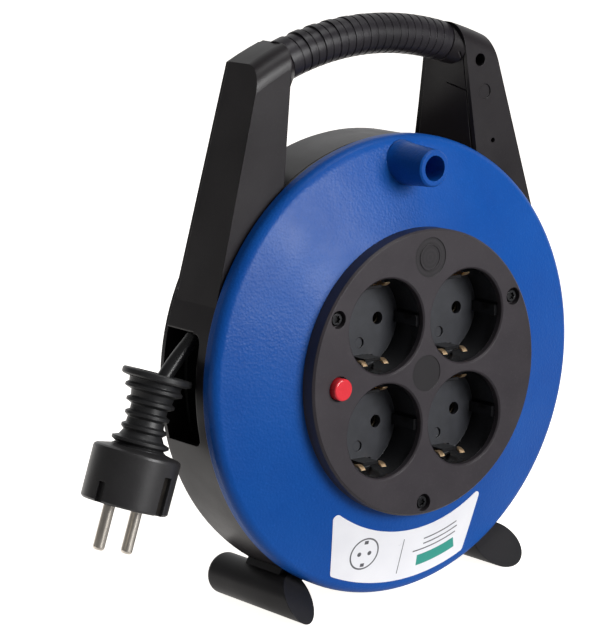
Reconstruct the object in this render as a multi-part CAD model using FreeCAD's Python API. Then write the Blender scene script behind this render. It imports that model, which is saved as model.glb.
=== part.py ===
import FreeCAD, Part
import math
import os

# Extension cord reel in a closed casing: a turning drum with four earthed sockets in its
# middle, held in a black frame with a ribbed carrying handle and two tube feet.
#
# Millimetres, +Z up, +X to the viewer's right, +Y from the socket side to the back.
# Every piece is first made around the drum axis (X = 0, Z = 0) with Y as the depth behind
# the face of the socket panel. save() then moves it to the part's own origin, which is on
# the floor under the middle of the reel.

# ---------------------------------------------------------------- driving dimensions
floor_drop = 99.3             # drum axis above the floor
depth_front = -4.5            # the crank knob's tip
depth_back = 72.0             # the rear ends of the feet
mid_depth = (depth_front + depth_back) / 2

drum_turn = -3.1              # how far the drum is turned at rest, anticlockwise from the front

# blue front disc
disc_radius = 98.0
disc_skin = 2.4
cone_start = 60.6             # radius where the conical face starts
cone_depth = 6.9              # depth of the face there
cone_slope = 0.29             # depth per millimetre of radius
rim_start = 94.0              # radius where the rim starts to round over
rim_depth = 21.0              # depth where the rounding ends
rim_back = 24.2               # back edge of the rim
disc_hole = 53.2

# crank knob, moulded with the disc
knob_x = 2.7
knob_z = 86.5
knob_tip_radius = 7.8
knob_root_radius = 8.7
knob_foot_radius = 9.6        # where the knob runs into the disc
knob_bore = 5.3
knob_bore_end = 11.0

label_outer = 92.8            # radius of the label's lower edge, round the drum axis
label_inner = 67.15           # radius of its upper edge, whose centre is a little off the axis
label_inner_x = 0.74
label_inner_z = -2.25
label_thickness = 0.15

entry_angle = -20.0           # where the cord passes through the hub wall, before drum_turn
entry_depth = 43.0
inner_lead_end = 46.5         # distance from the axis where the cord's sheath stops

core_radius = 1.1             # one insulated core inside the cord

# socket panel and its four wells
panel_radius = 60.6
panel_skin = 3.0
well_pitch = 22.0             # well centres from the drum axis, in X and in Z
well_radius = 20.0
well_wall = 1.6
well_depth = 17.5
well_floor = 1.8
pin_spacing = 19.0
pin_hole_radius = 2.7
earth_offset = 16.6           # earth clips above and below a well's centre
ear_depth = 10.2              # middle of a clip's bowed ear
ear_radius = 4.2
ear_bow = 1.4                 # how far the bow stands in from the clip's middle
guard_near = 0.7              # a black web stands in front of each clip, between its ears
guard_far = 2.0
panel_screw_circle = 55.4
button_x = -47.0
button_z = -1.0
button_radius = 4.6
button_front = -3.0

# drum
hub_radius = 60.0
hub_skin = 2.6
hub_front = cone_depth + disc_skin
hub_wall_front = 48.4
hub_back = 50.4
flange_radius = 86.8
flange_back = 52.0
bush_radius = 10.0
spigot_radius = 8.0
running_gap = 0.05

# casing and frame
casing_radius = 97.0
casing_skin = 2.5
frame_front = 25.2
frame_back = 53.5             # back plane of the casing below the shoulder
shoulder_z = 10.0             # the columns' back leans forward above this height
top_back = 46.5               # back plane of the columns at the height of their tops
lean_top_z = 133.0
column_low = 26.0             # height where the outer column faces meet the casing
column_foot_x = 99.9          # outer column face: x = column_foot_x - column_lean * z
column_lean = 0.28
arch_radius = 147.0           # top of the columns, round the drum axis
gap_lines = ((20.0, 49.4, 0.165), (60.0, 40.9, -0.184))   # depth, x at z = 120, lean
cover_skin = 2.2
cover_inset = 0.6
post_radius = 3.6
post_circle = 91.2            # cover screws round the casing

# handle
bar_circle = 138.5
bar_depth = 37.0
bar_radius = 8.0
sleeve_radius = 8.25
rib_radius = 8.5
rib_rise = 0.7                # every second rib stands this much higher on top at the left end
rib_level = 0.6               # share of the grip, from the left, over which that fades out
rib_half_span = 18.2          # degrees each side of the top
rib_first = 16.0              # degrees left of the top, where the wide first rib ends
rib_pitch = 1.67              # degrees
rib_gap = 0.23                # half of a groove's width, degrees
rib_count = 20                # after the wide one
neck_tip = (18.25, 8.6, 138.4, 37.0)    # degrees, radius, circle and depth at the grip's end
neck_left = (20.4, 9.4, 137.5, 34.7)    # the same inside the left column
neck_right = (20.4, 8.5, 138.4, 33.8)

# cord window in the left side
window_front = 30.6
window_low = -20.0
window_high = 26.5

# feet
foot_x = 56.0
foot_radius = 9.0
foot_front = 12.0             # lowest point of the slanted front end
foot_rake = 0.774             # depth gained per millimetre upwards
foot_toe = 0.466              # depth lost per millimetre outwards
foot_screw_radius = 1.5
foot_screw_depth = 40.0

# cord
cord_diameter = 6.4
cord_radius = cord_diameter / 2
winding_inner = hub_radius + 0.3
winding_outer = 86.2
winding_front = 17.6
winding_back = 50.1
lead_route = (
    (-83.4, 39.6, 33.6),
    (-89.2, 39.8, 24.6),
    (-97.5, 40.2, 17.4),
    (-103.2, 40.6, 11.5),
    (-108.9, 40.9, 4.6),
    (-112.3, 41.0, -0.8),
    (-115.3, 41.0, -8.4),
)

# plug and its bend relief, along one sloping axis
plug_top = (-107.7, 41.0, 11.5)         # centre of the relief's flange
plug_axis = (-0.354, 0.0, -0.935)
plug_roll = 16.0                        # pins turned about the axis, from +X towards +Y
relief_length = 31.2
relief_flange_radius = 14.5
relief_mouth_radius = 10.6
relief_grip_start = 15.0                # below here the relief holds the cord
relief_grip = 21.3                      # how deep the cord goes into the relief
relief_rings = (                        # place along the axis, radius, waist above and below
    (6.8, 11.9, 10.7, 9.0),
    (12.3, 10.0, 8.6, 7.6),
    (17.6, 9.2, 7.6, 7.7),
    (23.0, 9.4, 7.9, 8.1),
    (28.5, 11.9, 9.4, 10.0),
)
plug_radius = 18.2
plug_neck_radius = 11.4
plug_length = 24.0
plug_pin_radius = 2.4
plug_pin_length = 19.0
plug_pin_root = 2.0           # radius of the part held in the plug
plug_pin_step = 0.5           # the pin has its full radius from this far outside the plug


# ---------------------------------------------------------------- helpers
def vec(x, y, z):
    return FreeCAD.Vector(x, y, z)


AXIS = vec(0, 1, 0)
ORIGIN = vec(0, 0, 0)


def save(name, shape):
    """Move a finished piece to the part's origin and write it as its own STEP file."""
    placed = shape.copy()
    placed.translate(vec(0, -mid_depth, floor_drop))
    placed.exportStep(os.path.join("parts", name + ".step"))


def turned(shape, degrees=drum_turn):
    """Turn a piece about the drum axis, anticlockwise as seen from the front."""
    result = shape.copy()
    result.rotate(ORIGIN, vec(0, -1, 0), degrees)
    return result


def rod(radius, start, end, x=0.0, z=0.0):
    """A cylinder along the depth, from one depth to another."""
    return Part.makeCylinder(radius, end - start, vec(x, start, z), AXIS)


def spoke(radius, start, end, depth):
    """A cylinder along +X at one depth, from one distance off the drum axis to another."""
    return Part.makeCylinder(radius, end - start, vec(start, depth, 0), vec(1, 0, 0))


def ring(outer, inner, start, end, x=0.0, z=0.0):
    return rod(outer, start, end, x, z).cut(rod(inner, start - 1, end + 1, x, z))


def block(x0, x1, y0, y1, z0, z1):
    return Part.makeBox(x1 - x0, y1 - y0, z1 - z0, vec(x0, y0, z0))


def prism(points, start, end):
    """Extrude an (x, z) outline from one depth to another."""
    corners = [vec(x, start, z) for x, z in points]
    face = Part.Face(Part.makePolygon(corners + corners[:1]))
    return face.extrude(vec(0, end - start, 0))


def spin(points, x=0.0, z=0.0):
    """Revolve a (radius, depth) outline about a line along the depth."""
    corners = [vec(x + radius, depth, z) for radius, depth in points]
    face = Part.Face(Part.makePolygon(corners + corners[:1]))
    return face.revolve(vec(x, 0, z), AXIS, 360)


def polar(radius, degrees):
    angle = math.radians(degrees)
    return radius * math.cos(angle), radius * math.sin(angle)


def join(pieces):
    pieces = list(pieces)
    return pieces[0].multiFuse(pieces[1:]).removeSplitter()


def group(solids):
    return Part.makeCompound(list(solids))


def face_depth(radius):
    """Depth of the blue disc's conical face at a radius."""
    return cone_depth + cone_slope * (radius - cone_start)


# ---------------------------------------------------------------- frame and casing
def gap_block(grow, low, high):
    """The hand gap between the columns: it narrows towards the back."""
    sections = []
    for depth, x_mid, lean in gap_lines:
        x_low = x_mid + lean * (120.0 - low) + grow
        x_high = x_mid + lean * (120.0 - high) + grow
        corners = [
            vec(-x_low, depth, low),
            vec(x_low, depth, low),
            vec(x_high, depth, high),
            vec(-x_high, depth, high),
        ]
        sections.append(Part.makePolygon(corners + corners[:1]))
    return Part.makeLoft(sections, True, True)


def columns(shrink, start, end):
    """Both leaning columns, each face moved inwards by shrink."""
    high = arch_radius + 5
    x_low = column_foot_x - column_lean * column_low - shrink
    x_high = column_foot_x - column_lean * high - shrink
    outline = [(-x_low, column_low), (x_low, column_low), (x_high, high), (-x_high, high)]
    body = prism(outline, start, end)
    body = body.common(rod(arch_radius - shrink, start, end))
    return body.cut(gap_block(shrink, 60.0, arch_radius + 10))


def back_slab(near, far):
    """Everything between two planes parallel to the leaning back, near and far behind it."""
    corners = [
        vec(-130, frame_back + near, -130),
        vec(-130, frame_back + near, shoulder_z),
        vec(-130, top_back + near, lean_top_z),
        vec(-130, top_back + near - 1.5, lean_top_z + 25),
        vec(-130, top_back + far - 1.5, lean_top_z + 25),
        vec(-130, top_back + far, lean_top_z),
        vec(-130, frame_back + far, shoulder_z),
        vec(-130, frame_back + far, -130),
    ]
    face = Part.Face(Part.makePolygon(corners + corners[:1]))
    return face.extrude(vec(260, 0, 0))


def screw_places():
    """Cover screws: two in each column and three round the casing, as (x, z)."""
    places = [(-57.0, 122.0), (57.0, 122.0), (-70.5, 76.0), (70.5, 76.0)]
    for degrees in (-40.0, -90.0, -140.0):
        places.append(polar(post_circle, degrees))
    return places


def solid_outline(inset):
    """Casing and columns before hollowing, with the columns' back still upright."""
    return rod(casing_radius - inset, frame_front, frame_back), columns(inset, frame_front, 60.0)


def front_housing():
    drum_shell, upright = solid_outline(0.0)
    leaning = round_top_edges(upright).cut(back_slab(0.0, 40.0))
    pocket = columns(casing_skin, frame_front + casing_skin, 60.0)
    pocket = pocket.common(rod(arch_radius - casing_skin - 4.5, frame_front, 60.0))
    leaning = leaning.cut(pocket)
    body = join([leaning.cut(drum_shell), drum_shell])
    body = body.cut(rod(casing_radius - casing_skin, frame_front - 1, frame_back + 5))
    posts = [cover_post(x, z) for x, z in screw_places()]
    necks = [neck(-1), neck(1)]
    body = join([body, arc_tube(bar_radius, 66.0, 114.0)] + necks + posts)
    for x, z in screw_places():
        body = body.cut(rod(1.6, frame_front + 6.0, frame_back + 5, x, z))
    window = block(-120, -88, window_front, frame_back, window_low, window_high)
    body = body.cut(window.makeFillet(4.0, window_edges(window)))
    body = body.cut(window_bevel())
    for side in (-1, 1):
        hole = spoke(foot_screw_radius, casing_radius - 8, casing_radius + 4, foot_screw_depth)
        body = body.cut(turned(hole, foot_angle(side)))
    seam = gap_block(0.8, 60.0, 128.0).common(block(-80, 80, 26.9, 27.4, 80, 127.5))
    body = body.cut(seam)
    body = body.cut(gap_block(0.7, 60.0, 128.0).common(sloping_seam()))
    body = body.cut(rod(2.7, frame_front - 1, frame_front + 9, 55.3, 123.2))
    body = body.cut(rod(1.1, frame_front - 1, frame_front + 4, 62.0, 87.8))
    return body.cut(rod(3.2, frame_front - 1, frame_front + 0.6, 57.8, 109.4))


def neck(side):
    """Round taper from inside a column to the end of the grip sleeve."""
    sections = []
    for degrees, radius, circle, depth in (neck_tip, neck_left if side < 0 else neck_right):
        x, z = polar(circle, 90.0 - side * degrees)
        sections.append(Part.Wire(Part.makeCircle(radius, vec(x, depth, z), vec(-z, 0, x))))
    return Part.makeLoft(sections, True, True)


def sloping_seam():
    """Thin slab for the parting line that drops towards the front of the hand gap."""
    corners = [
        vec(-80, 27.4, 110.3),
        vec(-80, 36.5, 113.3),
        vec(-80, 36.5, 113.8),
        vec(-80, 27.4, 110.8),
    ]
    return Part.Face(Part.makePolygon(corners + corners[:1])).extrude(vec(160, 0, 0))


def window_bevel():
    """Slope on the inside of the window's top edge, where the cord slides out."""
    low = window_high - 0.1
    outline = [(-93.6, low), (-89.2, low + 5.6), (-86.0, low + 5.6), (-86.0, low)]
    return prism(outline, window_front + 5.0, frame_back)


def round_top_edges(body):
    """Round the front edge of the columns' tops over, towards the handle."""
    edges = []
    for edge in body.Edges:
        reach = [math.hypot(vertex.X, vertex.Z) for vertex in edge.Vertexes]
        at_front = abs(edge.BoundBox.YMax - frame_front) < 0.01
        on_arch = all(abs(radius - arch_radius) < 0.01 for radius in reach)
        if at_front and on_arch and edge.BoundBox.XLength > 10:
            edges.append(edge)
    return body.makeFillet(8.5, edges)


def cover_post(x, z):
    """A screw post that reaches the rear cover, flat or leaning where the cover is."""
    in_column = math.hypot(x, z) > casing_radius
    post = rod(post_radius, frame_front + 1.0, frame_back, x, z)
    return post.cut(back_slab(0.0, 40.0)) if in_column else post


def window_edges(window):
    """The two short edges of the window's front, along X."""
    return [
        edge
        for edge in window.Edges
        if abs(edge.BoundBox.YMax - window_front) < 0.01 and edge.BoundBox.XLength > 5
    ]


def rear_cover():
    drum_shell, upright = solid_outline(cover_inset)
    leaning = upright.common(back_slab(0.0, cover_skin)).cut(rod(casing_radius, 0, 80))
    bridge = upright.common(back_slab(0.0, cover_skin)).common(rod(casing_radius + 1, frame_back, 60.0))
    plate = rod(casing_radius - cover_inset, frame_back, frame_back + cover_skin)
    raised = ring(74.0, 71.5, frame_back, frame_back + cover_skin + 0.8)
    hub = rod(20.0, frame_back, frame_back + cover_skin + 1.2)
    webs = []
    for step in range(6):
        web = block(19.0, 72.0, frame_back + 1, frame_back + cover_skin + 0.6, -1.2, 1.2)
        webs.append(turned(web, 30.0 + 60.0 * step))
    plate = join([plate, leaning, bridge, raised, hub] + webs)
    for x, z in screw_places():
        back = cover_back(x, z)
        plate = plate.cut(rod(1.8, 40, 62, x, z))
        plate = plate.cut(Part.makeCone(1.8, 3.4, 1.8, vec(x, back - 1.8, z), AXIS))
        plate = plate.cut(rod(3.4, back, back + 3, x, z))
    for degrees in (90.0, 210.0, 330.0):
        x, z = polar(12.0, degrees)
        plate = plate.cut(rod(1.6, 45, 62, x, z))
        plate = plate.cut(rod(3.2, frame_back + 1.8, 62, x, z))
    return plate


def cover_back(x, z):
    """Depth of the rear cover's outer face at a screw."""
    if math.hypot(x, z) < casing_radius:
        return frame_back + cover_skin
    share = (z - shoulder_z) / (lean_top_z - shoulder_z)
    return frame_back + cover_skin + share * (top_back - frame_back)


def cover_screws():
    screws = []
    for x, z in screw_places():
        back = cover_back(x, z)
        head = Part.makeCone(1.75, 3.15, 1.6, vec(x, back - 1.8, z), AXIS)
        shank = rod(1.6, back - 16.0, back - 1.0, x, z)
        slot_a = block(x - 2.0, x + 2.0, back - 0.9, back + 1, z - 0.4, z + 0.4)
        slot_b = block(x - 0.4, x + 0.4, back - 0.9, back + 1, z - 2.0, z + 2.0)
        screws.append(join([head, shank]).cut(slot_a).cut(slot_b))
    return group(screws)


def grip_sleeve():
    """Ribbed grip around the bar: low ribs, every second one raised on top towards the left."""
    steps = [arc_tube(sleeve_radius, 90.0 - rib_half_span, 90.0 + rib_half_span)]
    grooves = [rib_first - rib_pitch * step for step in range(rib_count + 1)]
    starts = [rib_half_span + rib_gap] + grooves[:-1]
    for index, (left, right) in enumerate(zip(starts, grooves)):
        fading = max(0.0, 1.0 - index / rib_count / rib_level)
        rise = rib_rise * fading * ((index + 1) % 2)
        low = 90.0 + right + rib_gap
        high = 90.0 + left - rib_gap
        steps.append(arc_tube(rib_radius + 0.5 * rise, low, high, 0.5 * rise))
    body = join(steps).cut(arc_tube(bar_radius, 60.0, 120.0))
    return body.cut(columns(0.0, frame_front, 60.0))


def arc_tube(radius, start, end, rise=0.0):
    """A round bar bent about the drum axis, between two angles from +X towards +Z."""
    x, z = polar(bar_circle + rise, start)
    circle = Part.Wire(Part.makeCircle(radius, vec(x, bar_depth, z), vec(-z, 0, x)))
    return Part.Face(circle).revolve(vec(0, bar_depth, 0), vec(0, -1, 0), end - start)


# ---------------------------------------------------------------- feet
def foot(side):
    """A tube foot with a slanted closed front end and a saddle up to the casing."""
    centre_z = -floor_drop + foot_radius
    x = side * foot_x
    tube = rod(foot_radius, 0.0, depth_back, x, centre_z)
    rear = [edge for edge in tube.Edges if abs(edge.BoundBox.YMin - depth_back) < 0.01]
    tube = tube.makeFillet(3.0, rear)
    outer_x = side * (foot_x + 40.0)
    inner_x = side * (foot_x - 40.0)

    def rake(px, pz):
        outward = side * px - foot_x
        return foot_front + foot_rake * (pz + floor_drop) - foot_toe * outward

    low = -floor_drop - 20.0
    high = -floor_drop + 40.0
    corners = []
    for px, pz in ((outer_x, low), (inner_x, low), (inner_x, high), (outer_x, high)):
        corners.append(vec(px, rake(px, pz), pz))
    front = Part.Face(Part.makePolygon(corners + corners[:1])).extrude(vec(0, -90, 0))
    reach = math.hypot(foot_x, centre_z)
    degrees = math.degrees(math.atan2(centre_z, x))
    saddle = block(casing_radius - 6.0, reach, 29.0, 52.0, -6.5, 6.5)
    saddle = turned(saddle, degrees)
    body = join([tube.cut(front), saddle])
    body = body.cut(rod(casing_radius + 0.02, 0, frame_back + 0.02))
    body = body.cut(rod(casing_radius, frame_back - 1, frame_back + cover_skin + 0.1))
    hole = spoke(foot_screw_radius, casing_radius - 1, casing_radius + 13, foot_screw_depth)
    return body.cut(turned(hole, degrees))


def foot_angle(side):
    return math.degrees(math.atan2(-floor_drop + foot_radius, side * foot_x))


def foot_screws():
    """One screw from inside the casing into each foot."""
    screws = []
    for side in (-1, 1):
        seat = casing_radius - casing_skin - 0.06
        head = spoke(3.0, seat - 1.4, seat, foot_screw_depth)
        shank = spoke(foot_screw_radius, seat, seat + 14.0, foot_screw_depth)
        screws.append(turned(join([head, shank]), foot_angle(side)))
    return group(screws)


# ---------------------------------------------------------------- axle
def axle_spigot():
    """Fixed axle: a flanged stub on the inside of the rear cover."""
    flange = rod(16.0, 51.4, frame_back)
    stub = rod(spigot_radius, 41.0, frame_back)
    body = join([flange, stub]).cut(rod(1.5, 40.0, 51.0))
    for degrees in (90.0, 210.0, 330.0):
        x, z = polar(12.0, degrees)
        body = body.cut(rod(1.5, 51.0, frame_back + 1, x, z))
    return body


def spigot_screws():
    screws = []
    for degrees in (90.0, 210.0, 330.0):
        x, z = polar(12.0, degrees)
        head = rod(3.0, frame_back + 1.8, frame_back + 3.2, x, z)
        shank = rod(1.5, 51.5, frame_back + 1.8, x, z)
        screws.append(join([head, shank]))
    return group(screws)


def retaining_washer():
    return ring(12.5, 1.55, 39.8, 41.0)


def retaining_screw():
    head = rod(3.6, 37.6, 39.8)
    slot = block(-2.6, 2.6, 37.0, 38.4, -0.5, 0.5)
    return join([head, rod(1.5, 39.8, 50.5)]).cut(slot)


def hub_bush():
    """Bush pressed into the drum's hub, turning on the spigot."""
    return ring(bush_radius, spigot_radius + running_gap, 41.3, 51.1)


# ---------------------------------------------------------------- drum
def front_disc():
    """Conical blue disc with a rounded rim and the hollow crank knob."""
    skin = disc_skin
    top = vec(rim_start, face_depth(rim_start), 0)
    mid = vec(rim_start + 2.95, face_depth(rim_start) + 1.75, 0)
    end = vec(disc_radius, rim_depth, 0)
    outline = [
        Part.makeLine(vec(disc_hole, cone_depth, 0), vec(cone_start, cone_depth, 0)),
        Part.makeLine(vec(cone_start, cone_depth, 0), top),
        Part.Arc(top, mid, end).toShape(),
        Part.makeLine(end, vec(disc_radius, rim_back, 0)),
        Part.makeLine(vec(disc_radius, rim_back, 0), vec(disc_radius - 2.2, rim_back, 0)),
        Part.makeLine(vec(disc_radius - 2.2, rim_back, 0), vec(disc_radius - 2.2, rim_depth + 1.0, 0)),
        Part.makeLine(
            vec(disc_radius - 2.2, rim_depth + 1.0, 0),
            vec(rim_start - 1.2, face_depth(rim_start - 1.2) + skin + 0.2, 0),
        ),
        Part.makeLine(
            vec(rim_start - 1.2, face_depth(rim_start - 1.2) + skin + 0.2, 0),
            vec(cone_start, cone_depth + skin, 0),
        ),
        Part.makeLine(vec(cone_start, cone_depth + skin, 0), vec(disc_hole, cone_depth + skin, 0)),
        Part.makeLine(vec(disc_hole, cone_depth + skin, 0), vec(disc_hole, cone_depth, 0)),
    ]
    plate = Part.Face(Part.Wire(outline)).revolve(ORIGIN, AXIS, 360)
    behind = spin([
        (cone_start, cone_depth + skin),
        (rim_start - 1.2, face_depth(rim_start - 1.2) + skin + 0.2),
        (disc_radius - 2.2, rim_depth + 1.0),
        (disc_radius - 2.2, 40.0),
        (cone_start, 40.0),
    ])
    body = join([plate, crank_knob().cut(behind)])
    body = body.cut(rod(knob_bore, depth_front - 1, knob_bore_end, knob_x, knob_z))
    for degrees in screw_angles():
        x, z = polar(panel_screw_circle, degrees + drum_turn)
        body = body.cut(rod(1.9, 0, 20, x, z))
    return body


def crank_knob():
    """The knob's outside: a tapered tube that widens a little into the disc."""
    flare = vec(knob_x + knob_root_radius, 10.5, knob_z)
    middle = vec(knob_x + knob_root_radius + 0.3, 13.2, knob_z)
    spread = vec(knob_x + knob_foot_radius, 15.6, knob_z)
    buried = vec(knob_x + knob_foot_radius, 20.0, knob_z)
    axis_tip = vec(knob_x, depth_front, knob_z)
    axis_root = vec(knob_x, 20.0, knob_z)
    tip_in = vec(knob_x + knob_tip_radius - 0.7, depth_front, knob_z)
    tip_out = vec(knob_x + knob_tip_radius, depth_front + 0.7, knob_z)
    outline = [
        Part.makeLine(axis_tip, tip_in),
        Part.makeLine(tip_in, tip_out),
        Part.makeLine(tip_out, flare),
        Part.Arc(flare, middle, spread).toShape(),
        Part.makeLine(spread, buried),
        Part.makeLine(buried, axis_root),
        Part.makeLine(axis_root, axis_tip),
    ]
    return Part.Face(Part.Wire(outline)).revolve(axis_tip, AXIS, 360)


def screw_angles():
    return (150.0, 30.0, -90.0)


def drum_core():
    """Cup-shaped hub that carries the winding, with posts for the panel screws."""
    cup = spin([
        (hub_radius - hub_skin, hub_front),
        (hub_radius, hub_front),
        (hub_radius, hub_back),
        (bush_radius, hub_back),
        (bush_radius, 42.0),
        (bush_radius + 3.0, 42.0),
        (bush_radius + 3.0, hub_wall_front),
        (hub_radius - hub_skin, hub_wall_front),
    ])
    posts = []
    for degrees in screw_angles():
        x, z = polar(panel_screw_circle, degrees)
        posts.append(rod(4.0, hub_front, 32.0, x, z).common(rod(hub_radius, 0, 60)))
    body = join([cup] + posts)
    for degrees in screw_angles():
        x, z = polar(panel_screw_circle, degrees)
        body = body.cut(rod(1.5, 5, 26.0, x, z))
    for degrees in (45.0, 135.0, 225.0, 315.0):
        x, z = polar(52.0, degrees)
        body = body.cut(rod(1.4, 45, 55, x, z))
    entry = spoke(cord_radius + 0.3, 50.0, 70.0, entry_depth)
    body = body.cut(turned(entry, entry_angle))
    return turned(body)


def rear_flange():
    """Flat ring behind the winding, screwed to the back of the hub."""
    plate = ring(flange_radius, 40.0, hub_back, flange_back)
    for degrees in (45.0, 135.0, 225.0, 315.0):
        x, z = polar(52.0, degrees)
        plate = plate.cut(rod(1.5, 45, 55, x, z))
    return turned(plate)


def flange_screws():
    screws = []
    for degrees in (45.0, 135.0, 225.0, 315.0):
        x, z = polar(52.0, degrees)
        head = rod(2.8, flange_back, flange_back + 0.9, x, z)
        shank = rod(1.4, 44.0, flange_back, x, z)
        screws.append(join([head, shank]))
    return turned(group(screws))


# ---------------------------------------------------------------- socket panel
def well_centres():
    return [(sx * well_pitch, sz * well_pitch) for sz in (1, -1) for sx in (-1, 1)]


def socket_panel():
    rim = 0.9
    face = spin([
        (0, 0),
        (panel_radius - rim, 0),
        (panel_radius, rim),
        (panel_radius, cone_depth),
        (panel_radius - 2.2, cone_depth),
        (panel_radius - 2.2, panel_skin),
        (0, panel_skin),
    ])
    seats = []
    for degrees in screw_angles():
        x, z = polar(panel_screw_circle, degrees)
        seats.append(rod(4.6, 1.0, cone_depth, x, z).common(rod(panel_radius, 0, 10)))
    collar = rod(button_radius + 2.4, 1.0, 5.0, button_x, button_z)
    body = join([face] + seats + [collar])
    for x, z in well_centres():
        body = body.cut(rod(well_radius, -1, 10, x, z))
        body = body.cut(Part.makeCone(well_radius + 0.7, well_radius, 0.7, vec(x, 0, z), AXIS))
    for degrees in screw_angles():
        x, z = polar(panel_screw_circle, degrees)
        body = body.cut(rod(3.75, -1, 3.0, x, z))
        body = body.cut(rod(1.7, 0, 10, x, z))
    body = body.cut(rod(button_radius + 0.6, -1, 2.2, button_x, button_z))
    body = body.cut(rod(button_radius + 0.15, -1, 8, button_x, button_z))
    body = body.cut(rod(7.6, -1, 0.25))
    roundel_x, roundel_z = 0.9, 48.8
    body = body.cut(ring(8.3, 5.7, -1, 0.3, roundel_x, roundel_z))
    body = body.cut(rod(5.0, -1, 0.3, roundel_x, roundel_z))
    return turned(body)


def socket_wells():
    """Four cups behind the panel, each with pin holes, clip slots, webs and two guide ribs."""
    cups = []
    for x, z in well_centres():
        cup = rod(well_radius + well_wall, panel_skin, well_depth + well_floor, x, z)
        cup = cup.cut(rod(well_radius, 0, well_depth, x, z))
        for side in (-1, 1):
            low, high = sorted((side * (well_radius - 1.8), side * (well_radius + 0.6)))
            cup = cup.fuse(block(x + low, x + high, panel_skin, well_depth + 0.5, z - 2.3, z + 2.3))
        for side in (-1, 1):
            cup = cup.cut(rod(pin_hole_radius, 10, 30, x + side * pin_spacing / 2, z))
            middle = z + side * earth_offset
            cup = cup.cut(block(x - 7.2, x + 7.2, well_depth - 1, 30, middle - 1.5, middle + 1.5))
            low, high = sorted((middle - side * guard_far, middle - side * guard_near))
            cup = cup.fuse(block(x - 4.1, x + 4.1, ear_depth - 1.4, well_depth + 0.5, low, high))
        cup = cup.cut(rod(2.3, well_depth - 1, well_depth + 0.9, x - 0.1, z - 9.5))
        cups.append(cup)
    return turned(group(cups))


def panel_screws():
    """Three screws with six-lobed recesses, sunk in the panel."""
    screws = []
    for degrees in screw_angles():
        x, z = polar(panel_screw_circle, degrees)
        head = Part.makeCone(2.4, 2.8, 0.5, vec(x, 1.0, z), AXIS).fuse(rod(2.8, 1.5, 3.0, x, z))
        body = join([head, rod(1.5, 3.0, 25.0, x, z)])
        body = body.cut(rod(1.15, 0, 2.2, x, z))
        for lobe in range(6):
            lobe_x, lobe_z = polar(1.2, 60.0 * lobe)
            body = body.cut(rod(0.42, 0, 2.2, x + lobe_x, z + lobe_z))
        screws.append(body)
    return turned(group(screws))


base_front = well_depth + well_floor + 0.1
base_back = 36.0
base_radius = 49.5


def contact_columns():
    """X of the contact sleeves: pin positions of the left and right sockets."""
    half = pin_spacing / 2
    return [-well_pitch - half, -well_pitch + half, well_pitch - half, well_pitch + half]


def contact_base():
    """Moulded carrier behind the wells that holds the contacts."""
    body = rod(base_radius, base_front, base_back)
    body = body.cut(block(-60, -38.5, 10, 40, button_z - 8.2, button_z + 8.2))
    body = body.cut(rod(15.0, 33.0, 40.0))
    for x in contact_columns():
        for z in (well_pitch, -well_pitch):
            body = body.cut(rod(3.9, 10, 40, x, z))
        body = body.cut(block(x - 3.2, x + 3.2, 32.4, 40, -44, 44))
    body = body.cut(block(-36, 36, 32.4, 40, 37.0, 44.0))
    body = body.cut(block(-36, 36, 32.4, 40, -44.0, -37.0))
    for x in (-well_pitch, well_pitch):
        for z in (well_pitch, -well_pitch):
            for side in (-1, 1):
                middle = z + side * earth_offset
                body = body.cut(block(x - 7.4, x + 7.4, 10, 30.9, middle - 1.5, middle + 1.5))
        body = body.cut(block(x - 4.2, x + 4.2, 29.0, 31.0, -42, 42))
    body = body.cut(block(-well_pitch, well_pitch, 29.0, 31.0, -3.0, 3.0))
    body = body.cut(rod(core_radius + 0.2, 30.0, 40.0, well_pitch, 0.0))
    return turned(body.common(rod(base_radius, 0, 60)))


def contact_strip(columns_x, side):
    """Two uprights and a cross bar, above (side 1) or below (-1), with a sleeve at each pin place."""
    front, back = 32.9, 33.8
    bar_z = side * 39.5
    pieces = [block(min(columns_x), max(columns_x), front, back, bar_z - 2.2, bar_z + 2.2)]
    for x in columns_x:
        ends = sorted((bar_z + side * 2.2, -side * 27.0))
        pieces.append(block(x - 2.4, x + 2.4, front, back, ends[0], ends[1]))
        for z in (well_pitch, -well_pitch):
            pieces.append(rod(3.5, 21.0, back, x, z))
    body = join(pieces)
    for x in columns_x:
        for z in (well_pitch, -well_pitch):
            body = body.cut(rod(2.5, 10, 50, x, z))
            body = body.cut(block(x - 0.4, x + 0.4, 10, 31, z - 5, z + 5))
    return turned(body)


def line_strip():
    xs = contact_columns()
    return contact_strip((xs[0], xs[2]), 1)


def neutral_strip():
    xs = contact_columns()
    return contact_strip((xs[1], xs[3]), -1)


def earth_frame():
    """Sprung earth clips, two in each well, on one cross-shaped strip."""
    pieces = [block(-well_pitch, well_pitch, 29.4, 30.3, -2.2, 2.2)]
    for x in (-well_pitch, well_pitch):
        pieces.append(block(x - 3.6, x + 3.6, 29.4, 30.3, -39.6, 39.6))
        for z in (well_pitch, -well_pitch):
            for side in (-1, 1):
                pieces.append(earth_clip(x, z, side))
    return turned(join(pieces))


def earth_clip(x, z, side):
    """One clip: a blade up the side of the well that ends in two ears, bowed inwards."""
    middle = z + side * earth_offset
    blade = block(x - 6.8, x + 6.8, 12.8, 30.3, middle - 0.4, middle + 0.4)
    notch = block(x - 4.4, x + 4.4, 5.0, 14.0, middle - 1, middle + 1)
    low, high = sorted((middle + side * 0.4, middle - side * 3.0))
    ears = []
    for start in (x - 6.8, x + 4.4):
        centre = vec(start, ear_depth, middle + side * (ear_radius - ear_bow))
        bow = Part.makeCylinder(ear_radius, 2.4, centre, vec(1, 0, 0))
        bow = bow.cut(Part.makeCylinder(ear_radius - 0.8, 2.4, centre, vec(1, 0, 0)))
        ears.append(bow.common(block(start, start + 2.4, 0, 20, low, high)))
    return join([blade.cut(notch)] + ears)


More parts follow.
